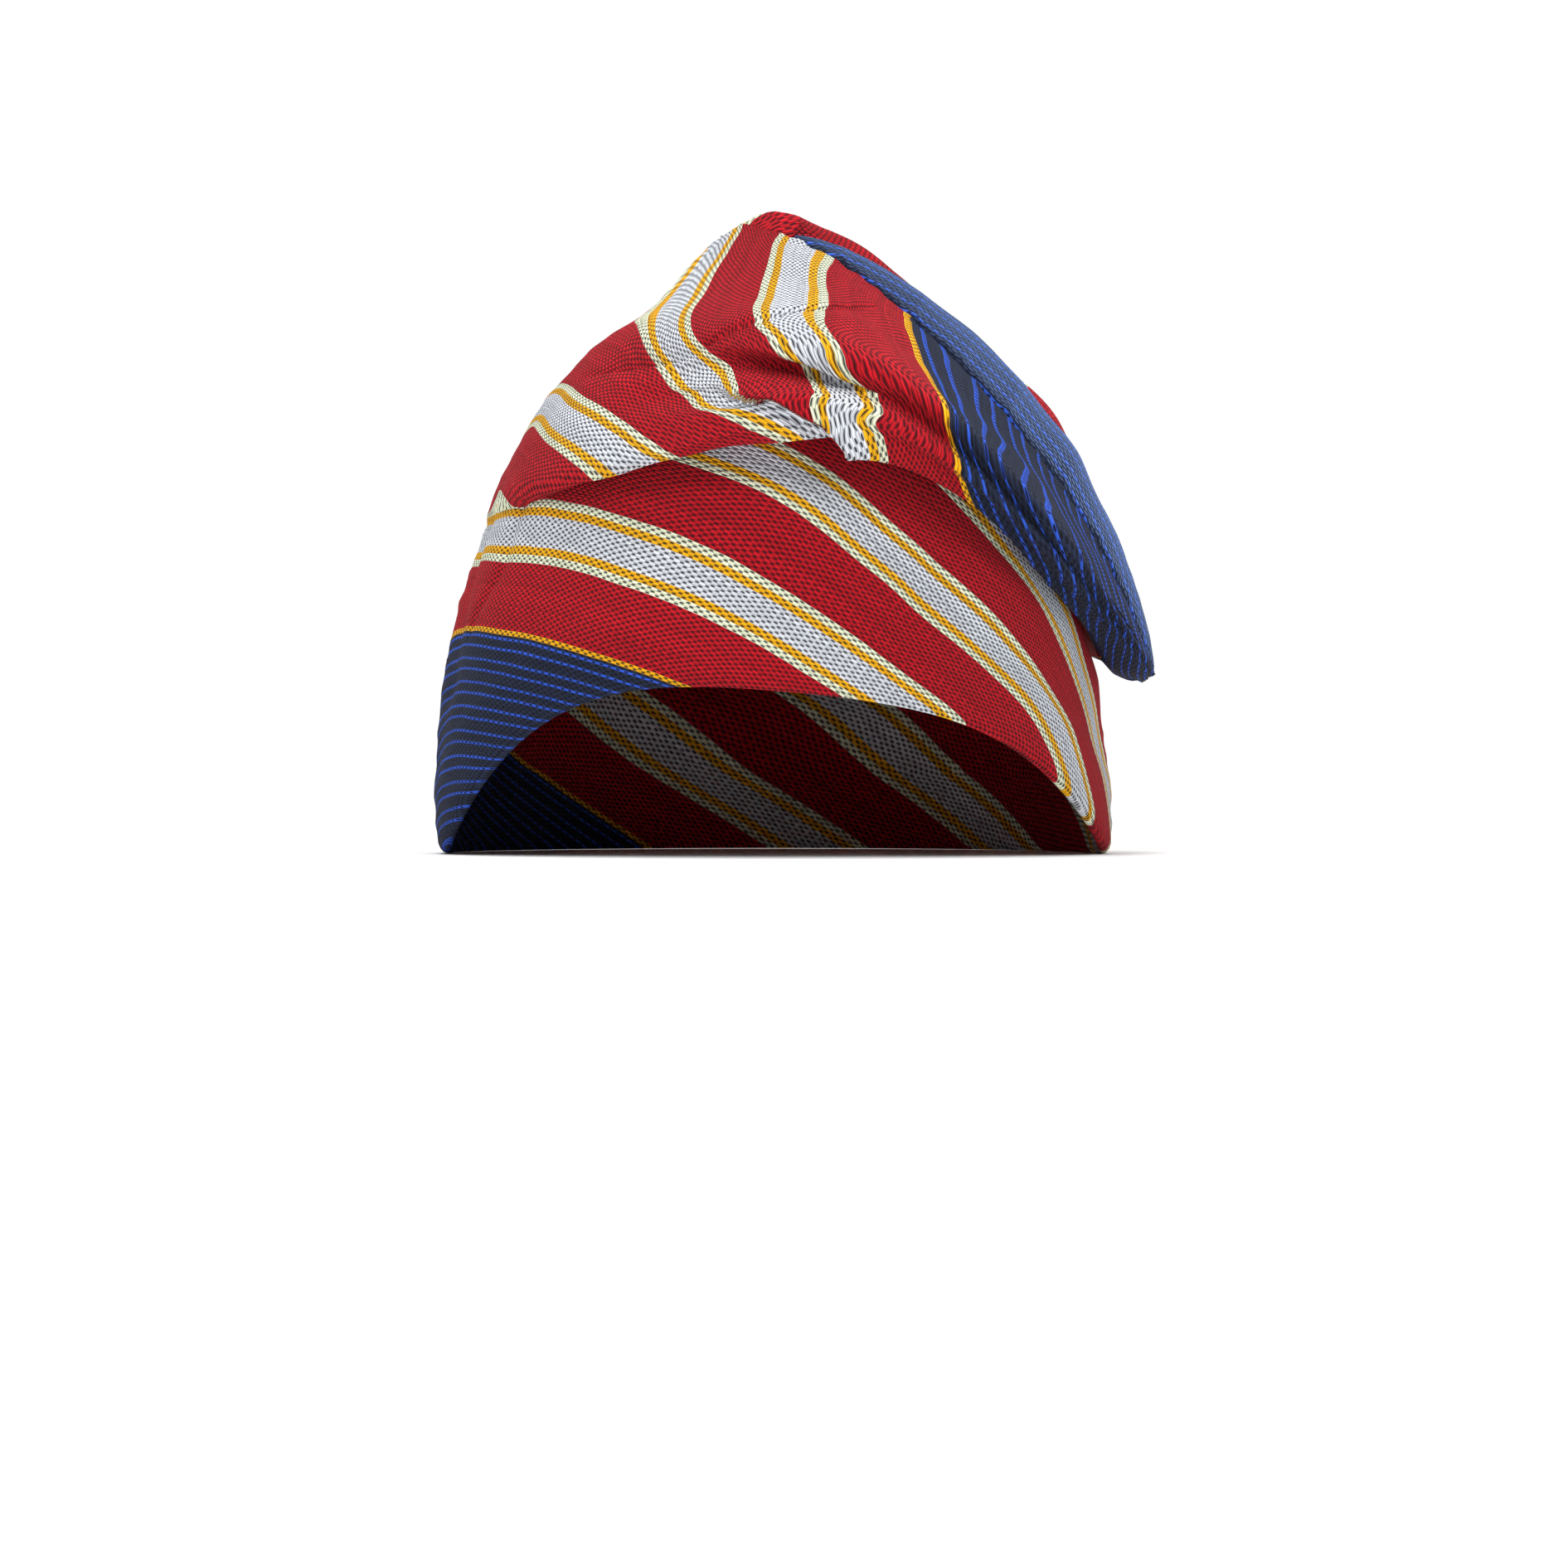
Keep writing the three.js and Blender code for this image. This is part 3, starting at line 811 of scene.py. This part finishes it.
def strip_faces():
    first = math.acos(1 - 2 * STRIP_START)
    ease = (1 - np.cos(np.linspace(0, math.pi, STRIP_ANGLES))) / 2
    angle = first + (math.pi - first) * (STRIP_END_GAP + (1 - 2 * STRIP_END_GAP) * ease)
    share = (1 - np.cos(np.linspace(0, math.pi, STRIP_ACROSS))) / 2
    start, end = front_point(angle, 1.0)[:, None], back_crest(angle)[:, None]
    width = strip_share(angle)[:, None]
    flat = start + (end - start) * share[None, :, None]
    into = unit(under_crest(angle, 1)[:, None] * (1 - share)[None, :, None]
                + under_crest(angle, -1)[:, None] * share[None, :, None])
    rise = STRIP_RISE * width * np.sin(math.pi * share)[None] ** STRIP_ARCH
    base = flat - under_crest(np.array([math.pi / 2]), 0)[None] * rise[..., None]
    across = run_length(base, 1)
    along = run_length(base, 0)
    from_edge = np.minimum(across, across[:, -1:] - across)
    puff = STRIP_PUCKER * pucker(from_edge, along, STRIP_SEED)
    puff = puff + STRIP_WAVE * slow_waves(base, STRIP_SEED + 2, STRIP_WAVE_LENGTH) * width
    ends = smoothstep(width, *PUFF_WIDTHS)
    outer = base + into * (round_off(from_edge, SEAM_ROUND) - puff * ends)[..., None]
    inner = base + into * CLOTH
    middle = across[:, -1:] / 2
    along = np.repeat(along[:, STRIP_ACROSS // 2, None], STRIP_ACROSS, axis=1)
    return outer, inner, along, across - middle + STRIP_THREADS_AT


strip = write_sheet("crest_strip", *strip_faces())

# %% [markdown]
# ## Shader maths as Python
#
# A weave is arithmetic: which thread, where on the thread, over or under. A small class wraps a
# socket, so that a sum of two values adds its Math node by itself and the formula stays legible.

# %% A value that varies over the surface
MIX_FIRST, MIX_SECOND, MIX_RESULT = 6, 7, 2


class Value:
    """Wraps a socket. Arithmetic on it adds Math nodes to its material."""

    def __init__(self, maker, socket):
        self.maker, self.socket = maker, socket

    def maths(self, operation, *others):
        return self.maker.node("ShaderNodeMath", {"operation": operation}, self, *others)

    def __add__(self, other):
        return self.maths("ADD", other)

    def __sub__(self, other):
        return self.maths("SUBTRACT", other)

    def __mul__(self, other):
        return self.maths("MULTIPLY", other)

    def __truediv__(self, other):
        return self.maths("DIVIDE", other)

    def __pow__(self, other):
        return self.maths("POWER", other)

    def __lt__(self, other):
        return self.maths("LESS_THAN", other)

    def __gt__(self, other):
        return self.maths("GREATER_THAN", other)

    def __mod__(self, other):
        return self.maths("FLOORED_MODULO", other)

    def __rsub__(self, other):
        return (self * -1) + other

    __radd__ = __add__
    __rmul__ = __mul__

    def __abs__(self):
        return self.maths("ABSOLUTE")

    def floor(self):
        return self.maths("FLOOR")

    def clamp(self):
        return self.maker.node("ShaderNodeClamp", {}, self)


class Maker:
    """Adds nodes to one new material."""

    def __init__(self, name):
        self.material = bpy.data.materials.new(name)
        self.material.use_nodes = True
        self.tree = self.material.node_tree
        self.shader = self.tree.nodes["Principled BSDF"]

    def node(self, kind, settings, *values, output=0, **named):
        node = self.tree.nodes.new(kind)
        for key, value in settings.items():
            setattr(node, key, value)
        for key, value in [*enumerate(values), *named.items()]:
            self.set(node.inputs[key], value)
        return Value(self, node.outputs[output])

    def set(self, socket, value):
        if isinstance(value, Value):
            self.tree.links.new(value.socket, socket)
        else:
            socket.default_value = value

    def mix(self, share, first, second):
        """Two colours mixed by a share."""
        return self.blend("MIX", share, first, second)

    def blend(self, kind, share, first, second):
        settings = {"data_type": "RGBA", "blend_type": kind}
        mixed = self.node("ShaderNodeMix", settings, share, output=MIX_RESULT)
        for place, colour in ((MIX_FIRST, first), (MIX_SECOND, second)):
            self.set(mixed.socket.node.inputs[place], colour)
        return mixed


print("shader maths ready")

# %% [markdown]
# ## The weave
#
# The cloth is a warp-faced plain weave: the coloured threads that run along the strip float
# over the top and dive under a dark weft once in every two picks, half a step apart from their
# neighbours. Where a thread dives, a short dark dash shows. The formula finds the thread by the
# across coordinate and the place on its float by the along coordinate, so the pattern bends
# with every fold. Counting threads, and not millimetres, keeps each stripe's edge on a thread.

# %% Threads and floats
THREAD = 0.74
FLOAT = 2.26
GOLD_LINE_AT = 62
RED_THREADS = 26
BAND_THREADS = 23
EDGE_THREADS = 3
BANDS = 4
STRIPED_THREADS = (BANDS + 1) * RED_THREADS + BANDS * BAND_THREADS
BLUE_REPEAT = 9
RELIEF_M = 0.0004
DRIFT = 0.5
DRIFT_SCALE = 0.09
FLOAT_CHANCE = 0.16
# A dash's form and a thread's roundness, in shares of a thread's width and of a float
DASH_REACH = 1.2
DASH_WIDTH = 0.66
DASH_LENGTH = 0.46
DASH_EDGE = 0.4
THREAD_ROUND = 0.45
FLOAT_STEEP = 1.6
VALLEY_FROM = 0.72
SLUB_LENGTH = 7
SLUB_STEP = 3.7
FUZZ_SCALE = 3.5

# How much each part of the weave changes the colour, the bump and the gloss
LOOKS = {
    "darkest thread": 0.62,
    "lighter by thread": 0.22,
    "lighter by slub": 0.5,
    # painted shade: the colour is darker where the weave lies low and lighter on the thread tops
    "painted shade on low cloth": 0.86,
    "painted shade by height": 0.2,
    # painted shade: the colour darkens between neighbouring threads, in red towards the weft's
    # colour
    "valley shade": 0.35,
    "dash": 0.94,
    "painted red valley shade": 0.4,
    "dash depth": 0.6,
    "fuzz height": 0.25,
    "bump": 0.9,
    "roughness": 0.8,
    "rougher in a dash": 0.15,
    "specular": 0.1,
    "sheen roughness": 0.5,
}
COLOURS = {
    "red": (0.54, 0.009, 0.018, 1),
    "white": (0.76, 0.79, 0.85, 1),
    "gold": (0.94, 0.46, 0.010, 1),
    "cream": (0.86, 0.90, 0.66, 1),
    "charcoal": (0.018, 0.026, 0.056, 1),
    "bright blue": (0.03, 0.10, 0.60, 1),
    "weft": (0.008, 0.008, 0.014, 1),
    # the weft's colour in the red ground, also the colour of the painted shade between red
    # threads
    "red weft": (0.02, 0.005, 0.008, 1),
}
STRIPED_SHEEN = 0.02
BLUE_SHEEN = 0.65
BLUE_SHEEN_TINT = (0.35, 0.52, 1.0, 1)


class Weave:
    """The thread, the float and the height at each place on the cloth."""

    def __init__(self, maker):
        self.maker = maker
        uv = maker.node("ShaderNodeUVMap", {"uv_map": "cloth"})
        split = maker.node("ShaderNodeSeparateXYZ", {}, uv).socket.node
        along, across = (Value(maker, split.outputs[i]) for i in (0, 1))
        drift = maker.node("ShaderNodeTexNoise", {"noise_dimensions": "2D"}, Vector=uv,
                           Scale=DRIFT_SCALE, Detail=2.0)
        across = across + (drift - 0.5) * DRIFT
        along = along + (drift - 0.5) * DRIFT
        self.thread = (across / THREAD).floor()
        self.chance = maker.node("ShaderNodeTexWhiteNoise", {"noise_dimensions": "1D"},
                                 W=self.thread)
        side = abs(across / THREAD - self.thread - 0.5) * 2
        run = (along / FLOAT + self.thread * 0.5 + self.chance * FLOAT_CHANCE) % 1.0
        over = 1 - abs(run - 0.5) * 2
        dash = DASH_REACH - (side / DASH_WIDTH) ** 2 - (over / DASH_LENGTH) ** 2
        self.gap = (dash / DASH_EDGE).clamp()
        rounded = 1 - side ** 2
        arched = (over * FLOAT_STEEP).clamp() * rounded
        self.height = rounded * THREAD_ROUND + arched * (1 - THREAD_ROUND)
        # where a thread curves down towards its neighbour, darkened later as painted shade
        self.valley = ((side - VALLEY_FROM) / (1 - VALLEY_FROM)).clamp()
        slub_at = maker.node("ShaderNodeCombineXYZ", {}, along / SLUB_LENGTH,
                             self.thread * SLUB_STEP)
        self.slub = maker.node("ShaderNodeTexNoise", {"noise_dimensions": "2D"},
                               Vector=slub_at, Scale=1.0, Detail=3.0)
        self.fuzz = maker.node("ShaderNodeTexNoise", {"noise_dimensions": "2D"}, Vector=uv,
                               Scale=FUZZ_SCALE, Detail=4.0)

    def between(self, first, count):
        """One where the thread's number lies in a run of threads."""
        return (self.thread > first - 0.5) * (self.thread < first + count - 0.5)

    def blue(self):
        """Charcoal cloth with a bright blue thread twice in each repeat."""
        place = self.thread % BLUE_REPEAT
        bright = (place < 0.5) + (place > 3.5) * (place < 4.5)
        return self.maker.mix(bright, COLOURS["charcoal"], COLOURS["bright blue"])

    def striped(self):
        """The five red and four white bands, each white one edged in gold and cream."""
        mix = self.maker.mix
        place = (self.thread - GOLD_LINE_AT) % (RED_THREADS + BAND_THREADS) - RED_THREADS
        in_band = place > -0.5
        from_edge = (BAND_THREADS - 1) / 2 - abs(place - (BAND_THREADS - 1) / 2)
        inner = from_edge > EDGE_THREADS - 0.5
        core = from_edge > 2 * EDGE_THREADS - 0.5
        band = mix(inner, COLOURS["cream"], mix(core, COLOURS["gold"], COLOURS["white"]))
        striped = mix(in_band, COLOURS["red"], band)
        inside = self.between(GOLD_LINE_AT, STRIPED_THREADS)
        line = self.between(GOLD_LINE_AT - 2, 2)
        line = line + self.between(GOLD_LINE_AT + STRIPED_THREADS, 2)
        cloth = mix(inside, self.blue(), striped)
        red_ground = inside * (1 - in_band)
        return mix(line, cloth, COLOURS["gold"]), red_ground

    def finish(self, colour, red_ground):
        """Dark dashes, uneven dye, painted shade low in the weave and between threads, and the
        bump of the threads.
        """
        maker, looks = self.maker, LOOKS
        weft = maker.mix(red_ground, COLOURS["weft"], COLOURS["red weft"])
        by_thread = self.chance * looks["lighter by thread"]
        shade = looks["darkest thread"] + by_thread + self.slub * looks["lighter by slub"]
        # painted shade: lower parts of each thread get a darker colour
        shade = shade * (looks["painted shade on low cloth"] + self.height * looks["painted shade by height"])
        # painted shade: darker between neighbouring threads
        shade = shade * (1 - self.valley * looks["valley shade"])
        grey = maker.node("ShaderNodeCombineColor", {}, shade, shade, shade)
        dyed = maker.blend("MULTIPLY", 1.0, colour, grey)
        # the dashes show the dark weft; in the red, the valleys between threads get painted shade
        # in the weft's colour
        dark = self.gap * looks["dash"] + self.valley * red_ground * looks["painted red valley shade"]
        maker.set(maker.shader.inputs["Base Color"], maker.mix(dark.clamp(), dyed, weft))
        height = self.height * (1 - self.gap * looks["dash depth"])
        height = height + self.fuzz * looks["fuzz height"]
        bump = maker.node("ShaderNodeBump", {}, Strength=looks["bump"], Distance=RELIEF_M,
                          Height=height)
        maker.set(maker.shader.inputs["Normal"], bump)
        rough = looks["roughness"] + self.gap * looks["rougher in a dash"]
        maker.set(maker.shader.inputs["Roughness"], rough)
        maker.shader.inputs["Specular IOR Level"].default_value = looks["specular"]
        maker.shader.inputs["Sheen Roughness"].default_value = looks["sheen roughness"]


def striped_strip_cloth():
    maker = Maker("striped_strip_cloth")
    weave = Weave(maker)
    weave.finish(*weave.striped())
    maker.shader.inputs["Sheen Weight"].default_value = STRIPED_SHEEN
    return maker.material


def blue_strip_cloth():
    maker = Maker("blue_strip_cloth")
    weave = Weave(maker)
    weave.finish(weave.blue(), 0.0)
    maker.shader.inputs["Sheen Weight"].default_value = BLUE_SHEEN
    maker.shader.inputs["Sheen Tint"].default_value = BLUE_SHEEN_TINT
    return maker.material


striped, blue = striped_strip_cloth(), blue_strip_cloth()
for piece, material in ((front, striped), (back, striped), (strip, blue)):
    piece.data.materials.append(material)
print("stripes fill", STRIPED_THREADS, "threads,", round(STRIPED_THREADS * THREAD), "mm")

# %% [markdown]
# ## Riding on the frame
#
# Each piece takes the place of its plain solid and rides on the only body. All three are sheets
# of cloth, and the table lists the size that each was cut to.

CUTS = (
    # piece, node, slot, how it is held, cut width and length in m, cut area in square metres
    (front, "front_panel", "striped_cloth", "folded", 0.300, 0.210, 0.0433),
    (back, "back_panel", "striped_cloth", "folded", 0.305, 0.240, 0.0508),
    (strip, "crown_strip", "blue_cloth", "gathered", 0.036, 0.150, 0.0038),
)


def face_area(outer):
    """The area of one face of a sheet, in square metres."""
    round_step, up_step = np.diff(outer[:, :-1], axis=0), np.diff(outer[:-1], axis=1)
    return float(np.linalg.norm(np.cross(round_step, up_step), axis=-1).sum() / 1e6)


for piece, node, slot, held, width, length, area in CUTS:
    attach(piece, "root")
    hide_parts(node)
for name in panels:
    print(name, "has", round(face_area(panels[name][0]), 4), "square metres of cloth")

# %% [markdown]
# ## The studio
#
# The cap rests on a wide pale floor in soft light: a lamp high in front, a wide one on the right
# and a soft sky from straight above, with a bright even surround, so that the floor and the
# surround meet without a line. The long lens looks level from 1.4 metres away, a little above
# the floor, as the real cap was seen.

# %% Floor and surround
FLOOR_SIZE = 60
FLOOR_COLOUR = (0.9, 0.9, 0.9, 1)
FLOOR_ROUGHNESS = 0.9
SURROUND_LIGHT = 0.42
SURROUND_SEEN = 1.0
WHITE = (1, 1, 1, 1)

bpy.ops.mesh.primitive_plane_add(size=FLOOR_SIZE, location=(0, 0, cad_low.z))
floor = bpy.context.object
floor.name = "floor"
floor_maker = Maker("pale_floor")
floor_maker.shader.inputs["Base Color"].default_value = FLOOR_COLOUR
floor_maker.shader.inputs["Roughness"].default_value = FLOOR_ROUGHNESS
floor.data.materials.append(floor_maker.material)

world = bpy.data.worlds.new("surround")
bpy.context.scene.world = world
world.use_nodes = True
tree = world.node_tree
surround = tree.nodes["Background"]
seen = tree.nodes.new("ShaderNodeBackground")
for background, strength in ((surround, SURROUND_LIGHT), (seen, SURROUND_SEEN)):
    background.inputs["Strength"].default_value = strength
    background.inputs["Color"].default_value = WHITE
choose = tree.nodes.new("ShaderNodeMixShader")
rays = tree.nodes.new("ShaderNodeLightPath")
tree.links.new(rays.outputs["Is Camera Ray"], choose.inputs[0])
tree.links.new(surround.outputs[0], choose.inputs[1])
tree.links.new(seen.outputs[0], choose.inputs[2])
tree.links.new(choose.outputs[0], tree.nodes["World Output"].inputs["Surface"])
print("floor", FLOOR_SIZE, "m wide, surround", SURROUND_LIGHT)

# %% Lights and camera
LAMPS = (
    # name, place in metres, width in metres, watts
    ("front_key", (-0.15, -1.1, 1.25), 0.5, 10),
    ("right_fill", (0.9, -1.0, 0.8), 0.8, 5),
)
LAMPS_AIM = (0, 0, 0.08)
SKY_STRENGTH = 2.4
SKY_DEGREES = 40
EYE_FROM_BROW = 1400.0
EYE_SIDE = 2.2
EYE_UP = 17.2
FOCAL_PIXELS = 6790
PICTURE_PIXELS = 1891
SENSOR_MM = 36


def soft_light(name, place, size, watts):
    light = bpy.data.lights.new(name, "AREA")
    light.shape, light.size, light.energy = "DISK", size, watts
    lamp = bpy.data.objects.new(name, light)
    bpy.context.scene.collection.objects.link(lamp)
    lamp.location = place
    aim = np.array(LAMPS_AIM) - np.array(place)
    lamp.rotation_euler = mathutils.Vector(aim).to_track_quat("-Z", "Y").to_euler()


for lamp in LAMPS:
    soft_light(*lamp)
sky = bpy.data.lights.new("sky", "SUN")
sky.energy, sky.angle = SKY_STRENGTH, math.radians(SKY_DEGREES)
sky_lamp = bpy.data.objects.new("sky", sky)
bpy.context.scene.collection.objects.link(sky_lamp)

eye = (np.array([EYE_SIDE, -EYE_FROM_BROW, EYE_UP]) + SHIFT) / 1000
camera_data = bpy.data.cameras.new("camera")
camera_data.sensor_width = SENSOR_MM
camera_data.lens = SENSOR_MM * FOCAL_PIXELS / PICTURE_PIXELS
camera = bpy.data.objects.new("camera", camera_data)
bpy.context.scene.collection.objects.link(camera)
camera.location = eye.tolist()
camera.rotation_euler = (math.pi / 2, 0, 0)
bpy.context.scene.camera = camera
bpy.context.scene.view_settings.view_transform = "Standard"
print("camera at", eye.round(3))
